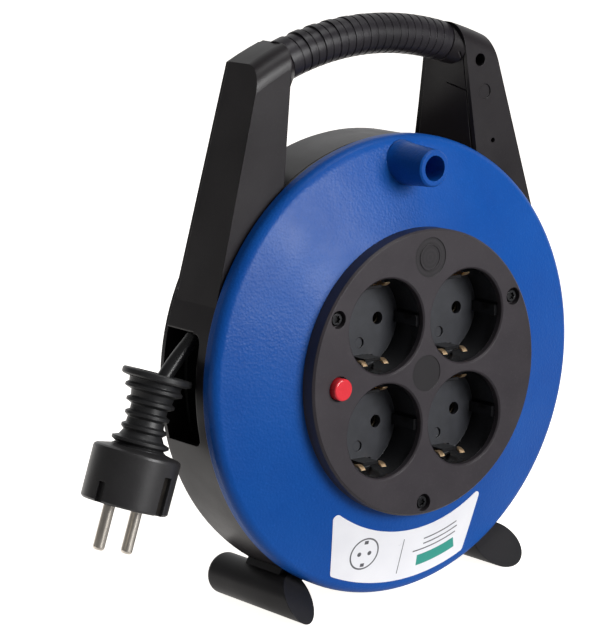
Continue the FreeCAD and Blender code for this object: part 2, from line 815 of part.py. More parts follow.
def thermal_cutout():
    """Resettable cut-out behind the red button."""
    case = block(-50.6, -39.6, 5.2, 31.0, button_z - 6.4, button_z + 6.4)
    tabs = [
        block(-49.0, -48.2, 31.0, 38.0, button_z - 3.0, button_z + 3.0),
        block(-42.4, -41.6, 31.0, 38.0, button_z - 3.0, button_z + 3.0),
    ]
    body = join([case] + tabs)
    return turned(body.cut(rod(3.15, 0, 12.5, button_x, button_z)))


def reset_button():
    cap = rod(button_radius, button_front, 2.6, button_x, button_z)
    edge = [e for e in cap.Edges if abs(e.BoundBox.YMax - button_front) < 0.01]
    cap = cap.makeFillet(0.8, edge)
    stem = rod(3.0, 2.6, 10.0, button_x, button_z)
    return turned(join([cap, stem]))


def name_label():
    """Label on the lower part of the disc: straight sides, round top and bottom."""
    outline = [(-42.9, -45.0), (42.9, -45.0), (35.4, -95.0), (-35.4, -95.0)]
    blank = prism(outline, 0, 30).common(rod(label_outer, 0, 30))
    blank = blank.cut(rod(label_inner, -1, 31, label_inner_x, label_inner_z))
    corners = []
    for edge in blank.Edges:
        box = edge.BoundBox
        if box.YLength > 29 and box.DiagonalLength < 31:
            corners.append(edge)
    blank = blank.makeFillet(2.0, corners)
    shell = spin([
        (62.0, face_depth(62.0) - label_thickness),
        (93.5, face_depth(93.5) - label_thickness),
        (93.5, face_depth(93.5)),
        (62.0, face_depth(62.0)),
    ])
    return turned(shell.common(blank))


# ---------------------------------------------------------------- inside wiring
def inner_lead():
    """The end of the cord inside the hub, from the hub wall to the clamp."""
    body = spoke(cord_radius, inner_lead_end, hub_radius + 1.0, entry_depth)
    body = body.common(rod(winding_inner, 0, 80))
    return turned(body, entry_angle + drum_turn)


def cord_clamp():
    """Saddle clamp that grips the cord inside the hub."""
    body = block(48.0, 55.0, 38.6, hub_wall_front, -9.5, 9.5)
    bore = spoke(cord_radius, 44.0, 64.0, entry_depth)
    body = body.cut(bore)
    for side in (-1, 1):
        body = body.cut(rod(1.3, 30, 60, 51.5, side * 6.8))
    return turned(body, entry_angle + drum_turn)


def clamp_screws():
    screws = []
    for side in (-1, 1):
        head = rod(2.4, 37.1, 38.6, 51.5, side * 6.8)
        shank = rod(1.3, 38.6, hub_wall_front, 51.5, side * 6.8)
        screws.append(join([head, shank]))
    return turned(group(screws), entry_angle + drum_turn)


def core_wire(index, points):
    """One insulated core of the cord, as straight runs with ball joints."""
    around = math.radians(90.0 + 120.0 * index)
    start = vec(inner_lead_end, entry_depth + 1.5 * math.sin(around), 1.5 * math.cos(around))
    first = turned(Part.Vertex(start), entry_angle).Vertexes[0].Point
    route = [first] + [vec(*point) for point in points]
    pieces = []
    for a, b in zip(route, route[1:]):
        pieces.append(Part.makeCylinder(core_radius, (b - a).Length, a, b - a))
    for corner in route[1:-1]:
        pieces.append(Part.makeSphere(core_radius, corner))
    return turned(join(pieces)).cut(inner_lead())


def wire_line():
    route = [(30.0, 40.6, -22.0), (0.0, 40.9, -32.0), (-30.0, 41.5, -14.0), (-42.0, 39.3, button_z)]
    return core_wire(1, route)


def wire_neutral():
    return core_wire(0, [(38.0, 46.0, -24.0), (31.5, 40.5, -34.0), (31.5, 34.2, -38.0)])


def wire_earth():
    return core_wire(2, [(34.0, 42.0, -6.0), (22.0, 39.5, 0.0), (22.0, 30.3, 0.0)])


# ---------------------------------------------------------------- cord and plug
def cord_tube(route, radius):
    """Straight runs joined by tangent arcs, each as large as its two runs allow."""
    points = [vec(*point) for point in route]
    edges = []
    last = points[0]
    for before, corner, after in zip(points, points[1:], points[2:]):
        way_in = (corner - before).normalize()
        way_out = (after - corner).normalize()
        turn = way_in.getAngle(way_out)
        shorter = min((corner - before).Length, (after - corner).Length)
        arc_radius = 0.45 * shorter / math.tan(turn / 2)
        tangent = 0.45 * shorter
        start = corner - way_in * tangent
        end = corner + way_out * tangent
        inward = (way_out - way_in).normalize()
        bulge = arc_radius / math.cos(turn / 2) - arc_radius
        edges.append(Part.makeLine(last, start))
        edges.append(Part.Arc(start, corner + inward * bulge, end).toShape())
        last = end
        print("lead bend radius %.1f mm, turn %.1f degrees" % (arc_radius, math.degrees(turn)))
    edges.append(Part.makeLine(last, points[-1]))
    path = Part.Wire(edges)
    direction = points[1] - points[0]
    profile = Part.Wire(Part.makeCircle(radius, points[0], direction))
    tube = path.makePipeShell([profile], True, False)
    expected = math.pi * radius * radius * path.Length
    print("lead length %.1f mm, volume ratio %.4f" % (path.Length, tube.Volume / expected))
    return tube


def cord_winding():
    return ring(winding_outer, winding_inner, winding_front, winding_back)


def on_plug(shape):
    """Place a piece made along +Z, with X across the pins, on the plug's sloping axis."""
    down = vec(*plug_axis).normalize()
    across = vec(-down.z, 0, down.x).normalize()
    sideways = vec(0, 1, 0)
    roll = math.radians(plug_roll)
    pins = across * math.cos(roll) + sideways * math.sin(roll)
    other = down.cross(pins)
    top = vec(*plug_top)
    frame = FreeCAD.Matrix(
        pins.x, other.x, down.x, top.x,
        pins.y, other.y, down.y, top.y,
        pins.z, other.z, down.z, top.z,
        0, 0, 0, 1,
    )
    result = shape.copy()
    result.transformShape(frame)
    return result


def turn_z(points):
    """Revolve a (radius, height) outline about the Z axis."""
    corners = [vec(radius, 0, height) for radius, height in points]
    face = Part.Face(Part.makePolygon(corners + corners[:1]))
    return face.revolve(ORIGIN, vec(0, 0, 1), 360)


def bend_relief():
    """Bell-mouthed relief: a wide flange, then five rings on a waisted sleeve."""
    outline = [
        (relief_mouth_radius, 0.0),
        (relief_flange_radius - 0.6, 0.0),
        (relief_flange_radius, 0.6),
        (relief_flange_radius, 2.3),
        (relief_flange_radius - 0.6, 2.9),
        (relief_mouth_radius + 0.3, 3.5),
    ]
    for height, outer, above, below in relief_rings:
        outline.append((above, height - 1.5))
        outline.append((outer, height - 0.6))
        outline.append((outer, height + 0.6))
        outline.append((below, height + 1.7))
    outline.append((plug_neck_radius, relief_length))
    outline.append((0.0, relief_length))
    outline.append((0.0, relief_grip))
    outline.append((cord_radius, relief_grip))
    outline.append((cord_radius, relief_grip_start))
    return on_plug(turn_z(outline))


def plug_body():
    radius = plug_radius
    start = relief_length
    end = relief_length + plug_length
    body = turn_z([
        (0, start),
        (plug_neck_radius, start),
        (radius - 1.2, start + 1.2),
        (radius - 0.3, start + 1.8),
        (radius, start + 2.7),
        (radius - 0.1, end - 0.8),
        (radius - 0.9, end),
        (0, end),
    ])
    earth_slot = Part.makeBox(4.6, 6.0, 17.0, vec(-2.3, 15.9, end - 16.0))
    key_slot = Part.makeBox(6.0, 3.4, 9.5, vec(16.4, -1.7, end - 8.5))
    pin_hole = Part.makeCylinder(plug_pin_root, 9.0, vec(pin_spacing / 2, 0, end - 8.0))
    for angle in (0, 180):
        for tool in (earth_slot, key_slot, pin_hole):
            body = body.cut(half_turned(tool, angle))
    return on_plug(body)


def half_turned(shape, degrees):
    result = shape.copy()
    result.rotate(ORIGIN, vec(0, 0, 1), degrees)
    return result


def plug_pins():
    end = relief_length + plug_length
    pins = []
    for side in (-1, 1):
        x = side * pin_spacing / 2
        root = Part.makeCylinder(plug_pin_root, 8.0 + plug_pin_step, vec(x, 0, end - 8.0))
        free = plug_pin_length - plug_pin_step
        pin = Part.makeCylinder(plug_pin_radius, free, vec(x, 0, end + plug_pin_step))
        tip = [e for e in pin.Edges if abs(e.BoundBox.ZMin - (end + plug_pin_length)) < 0.01]
        pins.append(root.fuse(pin.makeFillet(1.3, tip)))
    return on_plug(group(pins))


def plug_earth_contacts():
    """Sprung earth strips in the two side slots."""
    end = relief_length + plug_length
    strip = Part.makeBox(3.8, 0.8, 15.0, vec(-1.9, 15.9, end - 16.0))
    return on_plug(group(half_turned(strip, angle) for angle in (0, 180)))


# ---------------------------------------------------------------- write every piece
def main():
    os.makedirs("parts", exist_ok=True)
    save("front_housing", front_housing())
    save("rear_cover", rear_cover())
    save("cover_screws", cover_screws())
    save("grip_sleeve", grip_sleeve())
    save("foot_left", foot(-1))
    save("foot_right", foot(1))
    save("foot_screws", foot_screws())
    save("axle_spigot", axle_spigot())
    save("spigot_screws", spigot_screws())
    save("retaining_washer", retaining_washer())
    save("retaining_screw", retaining_screw())
    save("hub_bush", hub_bush())
    save("front_disc", front_disc())
    save("drum_core", drum_core())
    save("rear_flange", rear_flange())
    save("flange_screws", flange_screws())
    save("socket_panel", socket_panel())
    save("socket_wells", socket_wells())
    save("panel_screws", panel_screws())
    save("contact_base", contact_base())
    save("line_strip", line_strip())
    save("neutral_strip", neutral_strip())
    save("earth_frame", earth_frame())
    save("thermal_cutout", thermal_cutout())
    save("reset_button", reset_button())
    save("name_label", name_label())
    save("inner_lead", inner_lead())
    save("cord_clamp", cord_clamp())
    save("clamp_screws", clamp_screws())
    save("wire_line", wire_line())
    save("wire_neutral", wire_neutral())
    save("wire_earth", wire_earth())
    save("cord_winding", cord_winding())
    save("cord_lead", cord_tube(lead_route, cord_radius))
    save("bend_relief", bend_relief())
    save("plug_body", plug_body())
    save("plug_pins", plug_pins())
    save("plug_earth_contacts", plug_earth_contacts())


main()
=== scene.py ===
import math

import bmesh
import bpy
from mathutils import Matrix, Vector


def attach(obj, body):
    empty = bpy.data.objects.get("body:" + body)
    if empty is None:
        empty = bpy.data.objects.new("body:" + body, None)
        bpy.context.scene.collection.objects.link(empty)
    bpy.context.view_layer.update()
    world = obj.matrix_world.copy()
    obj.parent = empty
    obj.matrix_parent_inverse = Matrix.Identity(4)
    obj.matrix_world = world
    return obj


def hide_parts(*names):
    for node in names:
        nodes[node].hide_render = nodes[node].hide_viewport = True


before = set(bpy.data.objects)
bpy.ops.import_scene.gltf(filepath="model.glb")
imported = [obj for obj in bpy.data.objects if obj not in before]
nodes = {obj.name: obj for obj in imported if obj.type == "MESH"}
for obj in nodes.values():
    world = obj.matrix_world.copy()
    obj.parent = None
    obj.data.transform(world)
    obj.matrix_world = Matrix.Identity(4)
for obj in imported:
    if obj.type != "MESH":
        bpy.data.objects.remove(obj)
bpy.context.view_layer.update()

# Extension cord reel. Metres, +Z up, +Y from the socket side to the back. The drum turns
# about a line along Y at height AXIS_Z. "Depth" is measured behind the socket panel's face.
AXIS_Z = 0.0993
PANEL_Y = -0.03375
DRUM_TURN = math.radians(-3.1)
CORD_RADIUS = 0.0032


def at(x_mm, depth_mm, z_mm):
    """A point given in millimetres about the drum axis, as metres in the part's frame."""
    return Vector((x_mm / 1000, PANEL_Y + depth_mm / 1000, AXIS_Z + z_mm / 1000))


# ---------------------------------------------------------------- camera
CAMERA_PLACE = Vector((-0.76817, -0.91766, 0.38675))
CAMERA_AZIMUTH = math.radians(-38.34)
CAMERA_ELEVATION = math.radians(12.54)
CAMERA_ROLL = math.radians(-1.62)
CAMERA_LENS = 166.5                # millimetres, on a sensor SENSOR_WIDTH wide
SENSOR_WIDTH = 36.0


def make_camera():
    """The view of a person a little above the reel, to the left of its front."""
    azimuth, elevation, roll = CAMERA_AZIMUTH, CAMERA_ELEVATION, CAMERA_ROLL
    back = Vector((
        math.sin(azimuth) * math.cos(elevation),
        -math.cos(azimuth) * math.cos(elevation),
        math.sin(elevation),
    ))
    right = Vector((math.cos(azimuth), math.sin(azimuth), 0.0))
    up = back.cross(right)
    turned_right = right * math.cos(roll) + up * math.sin(roll)
    turned_up = up * math.cos(roll) - right * math.sin(roll)
    data = bpy.data.cameras.new("camera")
    data.lens = CAMERA_LENS
    data.sensor_width = SENSOR_WIDTH
    camera = bpy.data.objects.new("camera", data)
    axes = Matrix((turned_right, turned_up, back)).transposed()
    camera.matrix_world = Matrix.Translation(CAMERA_PLACE) @ axes.to_4x4()
    bpy.context.scene.collection.objects.link(camera)
    bpy.context.scene.camera = camera


make_camera()


# ---------------------------------------------------------------- cords
CURVE_STEPS = 6                    # along the cord, between two control points
ROUND_STEPS = 6                    # round a quarter of it
SPLINE_ORDER = 3


def cord_curve(name, points):
    """The cord along one NURBS spline, whose control points these are."""
    data = bpy.data.curves.new(name, "CURVE")
    data.dimensions = "3D"
    data.resolution_u = CURVE_STEPS
    data.bevel_depth = 1.0             # times each point's own radius
    data.bevel_resolution = ROUND_STEPS
    data.use_fill_caps = True
    spline = data.splines.new("NURBS")
    spline.points.add(len(points) - 1)
    for control, point in zip(spline.points, points):
        control.co = (point[0], point[1], point[2], 1.0)
        control.radius = CORD_RADIUS
    spline.order_u = SPLINE_ORDER
    spline.use_endpoint_u = True
    piece = bpy.data.objects.new(name, data)
    bpy.context.scene.collection.objects.link(piece)
    return piece


LEAD_ROUTE = (
    at(-83.4, 39.6, 33.6),
    at(-89.2, 39.8, 24.6),
    at(-97.5, 40.2, 17.4),
    at(-103.2, 40.6, 11.5),
    at(-108.9, 40.9, 4.6),
    at(-112.3, 41.0, -0.8),
    at(-115.3, 41.0, -8.4),
)

TURN_STEPS = 24                    # control points per turn
LAYER_RADII = (63.5, 69.95, 76.4, 82.85)
SLOT_FRONT = 20.8                  # depth of the cord's centre in the foremost turn
SLOT_PITCH = 6.525
SLOTS = 5
CROSSING = 3                       # steps in which a turn moves over to its neighbour or up a layer
LAST_SLOT = 3                      # where the outermost layer stops, beside the window
LEAVING_ANGLE = math.radians(135.2)
TAIL_STEPS = (0.35, 0.7, 0.985)    # shares of the straight run from the winding to the lead


def winding_points():
    """The turns on the drum: five side by side in each of four layers, out and back.

    A turn stays at its depth, then moves over to the next place within one crossing. At the
    flange the cord climbs to the next layer just ahead of the crossing below it, and that
    layer crosses just ahead of the climb."""
    places = []
    depth_index, direction = SLOTS - 1, -1
    step = 0
    for layer, radius in enumerate(LAYER_RADII):
        crossings = 0
        own_turn = TURN_STEPS - CROSSING if layer == 0 else TURN_STEPS - 2 * CROSSING
        while True:
            for _ in range(own_turn):
                places.append((step, radius, float(depth_index)))
                step += 1
            at_end = radius == LAYER_RADII[-1] and depth_index == LAST_SLOT
            if crossings == SLOTS - 1 or at_end:
                break
            for k in range(CROSSING):
                share = (k + 0.5) / CROSSING
                places.append((step, radius, depth_index + direction * share))
                step += 1
            depth_index += direction
            crossings += 1
            own_turn = TURN_STEPS - CROSSING
        if layer + 1 < len(LAYER_RADII):
            # the last turn of the layer stops one crossing early, and climbs
            for _ in range(CROSSING):
                places.pop()
                step -= 1
            above = LAYER_RADII[layer + 1]
            for k in range(CROSSING):
                share = (k + 0.5) / CROSSING
                places.append((step, radius + share * (above - radius), float(depth_index)))
                step += 1
            direction = -direction
    return places


def spline_pull():
    """How far, as a share of the radius, the spline runs inside control points set on a circle."""
    step = 2 * math.pi / TURN_STEPS
    at_points = 0.75 + 0.25 * math.cos(step)
    between = math.cos(step / 2)
    return 0.5 * (at_points + between)


def make_winding():
    """The wound cord and its control points, up to where the free end begins."""
    places = winding_points()
    pull = spline_pull()
    last_step = places[-1][0]
    points = []
    for step, radius, slot in places:
        angle = LEAVING_ANGLE - (last_step - step) * 2 * math.pi / TURN_STEPS
        depth = SLOT_FRONT + SLOT_PITCH * slot
        reach = radius / pull
        points.append(at(reach * math.cos(angle), depth, reach * math.sin(angle)))
    leaving = points[-1]
    for share in TAIL_STEPS:
        points.append(leaving.lerp(LEAD_ROUTE[0], share))
    return cord_curve("winding", points), points


winding, winding_line = make_winding()
lead = cord_curve("lead", LEAD_ROUTE)

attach(winding, "drum")
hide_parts("cord_winding")
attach(lead, "housing")
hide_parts("cord_lead")


# ---------------------------------------------------------------- material helpers
BEVEL_SAMPLES = 4
MOULDED_EDGE = 0.0004              # metres of an edge that look worn
METAL_EDGE = 0.0002
EDGE_WEAR = 0.35                   # the most that a moulded edge turns towards its worn colour
COAT_ROUGHNESS = 0.1


class Graph:
    """Short names for building a shader's nodes."""

    def __init__(self, name):
        self.material = bpy.data.materials.new(name)
        self.material.use_nodes = True
        self.tree = self.material.node_tree
        self.tree.nodes.clear()
        self.output = self.tree.nodes.new("ShaderNodeOutputMaterial")
        self.shader = self.tree.nodes.new("ShaderNodeBsdfPrincipled")
        self.link(self.shader.outputs[0], self.output.inputs[0])

    def link(self, a, b):
        self.tree.links.new(a, b)

    def put(self, socket, value):
        """Give a socket a value, or the output of another node."""
        if isinstance(value, bpy.types.NodeSocket):
            self.link(value, socket)
        elif value is not None:
            socket.default_value = value

    def node(self, kind, **settings):
        made = self.tree.nodes.new(kind)
        for key, value in settings.items():
            setattr(made, key, value)
        return made

    def position(self):
        return self.node("ShaderNodeTexCoord").outputs["Object"]

    def noise(self, scale, detail=3.0, rough=0.5, vector=None, distortion=0.0):
        made = self.node("ShaderNodeTexNoise")
        self.put(made.inputs["Vector"], vector or self.position())
        made.inputs["Scale"].default_value = scale
        made.inputs["Detail"].default_value = detail
        made.inputs["Roughness"].default_value = rough
        made.inputs["Distortion"].default_value = distortion
        return made.outputs["Fac"]

    def voronoi(self, scale, feature="F1", vector=None):
        made = self.node("ShaderNodeTexVoronoi", feature=feature)
        self.put(made.inputs["Vector"], vector or self.position())
        made.inputs["Scale"].default_value = scale
        return made.outputs["Distance"]

    def math(self, operation, a, b=None, c=None, clamp=False):
        made = self.node("ShaderNodeMath", operation=operation, use_clamp=clamp)
        for socket, value in zip(made.inputs, (a, b, c)):
            self.put(socket, value)
        return made.outputs[0]

    def spread(self, value, low, high, to_low=0.0, to_high=1.0):
        made = self.node("ShaderNodeMapRange", clamp=True)
        for key, number in zip(("Value", "From Min", "From Max", "To Min", "To Max"),
                               (value, low, high, to_low, to_high)):
            self.put(made.inputs[key], number)
        return made.outputs[0]

    def mix(self, share, a, b, blend="MIX"):
        made = self.node("ShaderNodeMix", data_type="RGBA", blend_type=blend)
        self.put(made.inputs["Factor"], share)
        for socket, value in ((made.inputs[6], a), (made.inputs[7], b)):
            if isinstance(value, (tuple, list)):
                value = tuple(value)[:3] + (1.0,)
            self.put(socket, value)
        return made.outputs[2]

    def split(self, vector):
        made = self.node("ShaderNodeSeparateXYZ")
        self.put(made.inputs[0], vector)
        return made.outputs

    def join(self, x, y, z):
        made = self.node("ShaderNodeCombineXYZ")
        for socket, value in zip(made.inputs, (x, y, z)):
            self.put(socket, value)
        return made.outputs[0]

    def bump(self, height, strength, distance, normal=None):
        made = self.node("ShaderNodeBump")
        made.inputs["Strength"].default_value = strength
        made.inputs["Distance"].default_value = distance
        self.put(made.inputs["Height"], height)
        if normal is not None:
            self.put(made.inputs["Normal"], normal)
        return made.outputs[0]

    def edge(self, radius):
        """1 on sharp outer edges, 0 on flats, from a bevelled normal, and that normal."""
        bevel = self.node("ShaderNodeBevel", samples=BEVEL_SAMPLES)
        bevel.inputs["Radius"].default_value = radius
        geometry = self.node("ShaderNodeNewGeometry")
        dot = self.node("ShaderNodeVectorMath", operation="DOT_PRODUCT")
        self.put(dot.inputs[0], bevel.outputs[0])
        self.put(dot.inputs[1], geometry.outputs["Normal"])
        return self.spread(dot.outputs["Value"], 0.99, 0.75, 0.0, 1.0), bevel.outputs[0]

    def finish(self, color, rough, metal, normal=None, coat=0.0, specular=0.5):
        """Fill the shader's sockets, and give the material back."""
        sockets = self.shader.inputs
        self.put(sockets["Base Color"], color)
        self.put(sockets["Roughness"], rough)
        self.put(sockets["Metallic"], metal)
        self.put(sockets["Normal"], normal)
        sockets["Coat Weight"].default_value = coat
        sockets["Coat Roughness"].default_value = COAT_ROUGHNESS
        sockets["Specular IOR Level"].default_value = specular
        return self.material


def brighter(color, factor, lift):
    return tuple(min(1.0, channel * factor + lift) for channel in color)


def moulded(name, dark, light, rough=(0.4, 0.55), grain=2600.0, grain_depth=0.00003,
            grain_strength=0.5, edge_color=None, coat=0.0, specular=0.5, patch=None):
    """Moulded plastic: eroded grain, cloudy tone, faint scuffs and paler, smoother edges."""
    g = Graph(name)
    cloud = g.noise(28.0, 4.0, 0.6)
    color = g.mix(g.spread(cloud, 0.3, 0.7), dark, light)
    speck = g.noise(900.0, 2.0, 0.7)
    color = g.mix(g.spread(speck, 0.55, 0.75, 0.0, 0.18), color, brighter(light, 1.7, 0.01))
    scuff = g.noise(160.0, 6.0, 0.75, distortion=1.2)
    scuffed = g.spread(scuff, 0.62, 0.8, 0.0, 0.25)
    color = g.mix(scuffed, color, brighter(light, 1.35, 0.01))
    edge, soft_normal = g.edge(MOULDED_EDGE)
    wear = g.spread(g.noise(70.0, 4.0, 0.6), 0.3, 0.7, 0.3 * EDGE_WEAR, EDGE_WEAR)
    color = g.mix(g.math("MULTIPLY", edge, wear), color, edge_color or brighter(light, 1.6, 0.015))
    roughness = g.spread(g.noise(45.0, 5.0, 0.6), 0.3, 0.7, rough[0], rough[1])
    roughness = g.math("SUBTRACT", roughness, g.math("MULTIPLY", edge, 0.08), clamp=True)
    if patch is not None:
        color, roughness = patch(g, color, roughness)
    fine = g.voronoi(grain, "SMOOTH_F1")
    height = g.math("ADD", fine, g.math("MULTIPLY", g.noise(grain * 0.45, 3.0, 0.6), 0.7))
    normal = g.bump(height, grain_strength, grain_depth, soft_normal)
    normal = g.bump(g.noise(14.0, 2.0, 0.5), 0.08, 0.0012, normal)
    return g.finish(color, roughness, 0.0, normal, coat=coat, specular=specular)


def metal(name, color, floor_light_patches, rough=(0.2, 0.35), scale=260.0):
    """Bright metal with drawing lines, handling marks and rubbed edges."""
    g = Graph(name)
    x, y, z = g.split(g.position())
    drawn = g.join(g.math("MULTIPLY", x, 3.0), g.math("MULTIPLY", y, 3.0), z)
    streaks = g.noise(scale, 3.0, 0.6, drawn)
    stain = g.noise(90.0, 4.0, 0.6)
    base = g.mix(g.spread(stain, 0.35, 0.7), color, floor_light_patches)
    edge, soft_normal = g.edge(METAL_EDGE)
    base = g.mix(g.math("MULTIPLY", edge, 0.5), base, brighter(color, 1.2, 0.05))
    roughness = g.spread(streaks, 0.3, 0.7, rough[0], rough[1])
    normal = g.bump(streaks, 0.12, 0.00004, soft_normal)
    return g.finish(base, roughness, 1.0, normal)


def dress(material, *names):
    """Give CAD nodes a material in place of the one they came with."""
    for name in names:
        nodes[name].data.materials.clear()
        nodes[name].data.materials.append(material)


# ---------------------------------------------------------------- materials
dress(
    moulded("black_casing", (0.0095, 0.0075, 0.0090), (0.0165, 0.0138, 0.0155), rough=(0.31, 0.42),
            specular=0.33),
    "front_housing", "rear_cover",
)
dress(
    moulded("black_grip", (0.010, 0.0085, 0.011), (0.018, 0.0155, 0.020), rough=(0.32, 0.42),
            specular=0.4),
    "grip_sleeve",
)
dress(
    moulded("black_feet", (0.010, 0.010, 0.011), (0.016, 0.015, 0.017), rough=(0.34, 0.46),
            grain_strength=0.3, specular=0.22),
    "foot_left", "foot_right",
)
dress(
    moulded("blue_disc", (0.002, 0.061, 0.300), (0.004, 0.075, 0.338), rough=(0.34, 0.46),
            grain=1000.0, grain_depth=0.00010, grain_strength=0.85, edge_color=(0.01, 0.10, 0.42),
            specular=0.2),
    "front_disc",
)
dress(
    moulded("black_drum", (0.008, 0.008, 0.009), (0.014, 0.014, 0.015), rough=(0.4, 0.5)),
    "drum_core", "rear_flange",
)


def drum_place(g):
    """Where a point lies on the drum, in millimetres: across, up and behind the panel's face."""
    x, y, z = g.split(g.position())
    x = g.math("MULTIPLY", x, 1000.0)
    z = g.math("MULTIPLY", g.math("SUBTRACT", z, AXIS_Z), 1000.0)
    cosine, sine = math.cos(DRUM_TURN), math.sin(DRUM_TURN)
    across = g.math("ADD", g.math("MULTIPLY", x, cosine), g.math("MULTIPLY", z, sine))
    up = g.math("SUBTRACT", g.math("MULTIPLY", z, cosine), g.math("MULTIPLY", x, sine))
    return across, up, g.math("MULTIPLY", g.math("SUBTRACT", y, PANEL_Y), 1000.0)


def distance_from(g, across, up, x, z):
    dx = g.math("SUBTRACT", across, x)
    dz = g.math("SUBTRACT", up, z)
    return g.math("SQRT", g.math("ADD", g.math("MULTIPLY", dx, dx), g.math("MULTIPLY", dz, dz)))


CENTRE_FIELD = 7.6                 # radius of the panel's plain round field, millimetres
RING_FIELD = 8.3                   # radius of the one with rings
RING_X, RING_Z = 0.9, 48.8
RING_WAVES = 3.4                   # radians of the rings' wave per millimetre
# painted shade: the dark tone of the sunk round fields
FIELD_SHADE_TONE = (0.012, 0.011, 0.012)
FLOOR_DEPTH = 17.3                 # where a well's floor begins
# painted light: the paler tone of the well floors
FLOOR_LIGHT_TONE = (0.040, 0.042, 0.049)


def shaded_panel_fields(g, color, roughness):
    """The sunk round fields are painted darker, as painted shade in their recesses; one of them has
    plain rings.
    """
    across, up = drum_place(g)[:2]
    middle = distance_from(g, across, up, 0.0, 0.0)
    centre = g.spread(middle, CENTRE_FIELD - 0.1, CENTRE_FIELD + 0.1, 1.0, 0.0)
    reach = distance_from(g, across, up, RING_X, RING_Z)
    upper = g.spread(reach, RING_FIELD - 0.1, RING_FIELD + 0.1, 1.0, 0.0)
    rings = g.math("SINE", g.math("MULTIPLY", reach, RING_WAVES))
    upper = g.math("MULTIPLY", upper, g.spread(rings, -0.4, 0.4, 0.55, 1.0))
    # painted shade in the sunk fields, ringed in the upper one
    dark = g.math("MULTIPLY", g.math("MAXIMUM", centre, upper), 0.8)
    return g.mix(dark, color, FIELD_SHADE_TONE), roughness


def well_floor_light_and_dullness(g, color, roughness):
    """The wells' floors are painted a little paler than their polished walls, as painted light on
    them, and are made a little duller.
    """
    depth = drum_place(g)[2]
    floor = g.spread(depth, FLOOR_DEPTH - 0.1, FLOOR_DEPTH + 0.15)
    # painted light on the well floors, patchy in strength
    floor_light_patches = g.spread(g.noise(230.0, 5.0, 0.7), 0.35, 0.7, 0.7, 1.0)
    color = g.mix(g.math("MULTIPLY", floor, floor_light_patches), color, FLOOR_LIGHT_TONE)
    return color, g.math("ADD", roughness, g.math("MULTIPLY", floor, 0.2))


dress(
    moulded("grey_panel", (0.025, 0.021, 0.025), (0.040, 0.034, 0.039), rough=(0.36, 0.48),
            grain=1900.0, specular=0.35, patch=shaded_panel_fields),
    "socket_panel",
)
dress(
    moulded("black_wells", (0.003, 0.003, 0.0035), (0.006, 0.006, 0.007), rough=(0.16, 0.26),
            grain_strength=0.12, specular=0.45, patch=well_floor_light_and_dullness),
    "socket_wells",
)
dress(
    moulded("red_button", (0.66, 0.018, 0.030), (0.76, 0.030, 0.044), rough=(0.2, 0.3),
            grain_strength=0.15, coat=0.4, edge_color=(0.75, 0.08, 0.08)),
    "reset_button",
)
dress(
    moulded("bush_plastic", (0.62, 0.6, 0.54), (0.72, 0.7, 0.64), rough=(0.25, 0.35)),
    "hub_bush",
)
dress(moulded("carrier_plastic", (0.10, 0.10, 0.10), (0.14, 0.14, 0.14)), "contact_base")
dress(moulded("clamp_plastic", (0.5, 0.5, 0.46), (0.6, 0.6, 0.56)), "cord_clamp")
dress(moulded("cutout_plastic", (0.02, 0.02, 0.02), (0.04, 0.04, 0.04)), "thermal_cutout")
dress(
    metal("contact_brass", (1.0, 0.74, 0.46), (0.95, 0.64, 0.38), rough=(0.38, 0.50)),
    "earth_frame",
)
dress(
    metal("sleeve_brass", (0.12, 0.10, 0.07), (0.08, 0.065, 0.045), rough=(0.4, 0.55)),
    "line_strip", "neutral_strip",
)
dress(
    metal("screw_steel", (0.05, 0.05, 0.052), (0.03, 0.03, 0.032), rough=(0.3, 0.45)),
    "cover_screws", "foot_screws", "spigot_screws", "panel_screws",
)
dress(
    metal("zinc_steel", (0.62, 0.62, 0.64), (0.48, 0.48, 0.5)),
    "axle_spigot", "retaining_washer", "retaining_screw", "flange_screws", "clamp_screws",
)
dress(
    metal("nickel_pins", (0.80, 0.74, 0.66), (0.70, 0.64, 0.56), rough=(0.26, 0.36), scale=90.0),
    "plug_pins",
)
dress(
    metal("dark_strip", (0.05, 0.045, 0.04), (0.03, 0.028, 0.025), rough=(0.45, 0.6)),
    "plug_earth_contacts",
)
dress(
    moulded("black_rubber", (0.010, 0.010, 0.011), (0.018, 0.018, 0.019), rough=(0.34, 0.46),
            grain=3200.0, grain_strength=0.3),
    "bend_relief",
)
dress(
    moulded("plug_plastic", (0.016, 0.015, 0.016), (0.028, 0.027, 0.028), rough=(0.30, 0.42)),
    "plug_body",
)
sheath = moulded("cord_sheath", (0.010, 0.010, 0.011), (0.018, 0.018, 0.019), rough=(0.24, 0.34),
                 grain_strength=0.2)
for piece in (winding, lead):
    piece.data.materials.append(sheath)
dress(sheath, "cord_winding", "cord_lead", "inner_lead")
dress(moulded("brown_wire", (0.14, 0.05, 0.02), (0.2, 0.08, 0.03), rough=(0.3, 0.4)), "wire_line")
dress(moulded("blue_wire", (0.02, 0.1, 0.4), (0.03, 0.14, 0.5), rough=(0.3, 0.4)), "wire_neutral")
dress(moulded("earth_wire", (0.2, 0.45, 0.05), (0.5, 0.55, 0.06), rough=(0.3, 0.4)), "wire_earth")


SIGN_X, SIGN_Z = -21.5, -77.0      # middle of the printed socket sign, millimetres
SIGN_RING = (6.6, 7.3)             # radii of its ring
SIGN_DOT = 1.0                     # radius of its two dots
SIGN_DOT_X = 2.6
SIGN_NOTCH = (4.4, 6.0)            # its two notches, above and below the middle
ACCENT_BAND = ((83.0, 88.0), (6.0, 20.5))          # distances from the drum axis, and degrees
LABEL_RULES = (
    ((80.3, 80.9), (4.0, 21.5)),
    ((77.9, 78.5), (8.0, 22.5)),
    ((75.5, 76.1), (8.0, 22.5)),
)
DIVIDER = ((73.5, 89.5), (-0.9, -0.6))
SOFT_MM = 0.08                     # how blurred a printed edge is
SOFT_DEGREES = 0.06


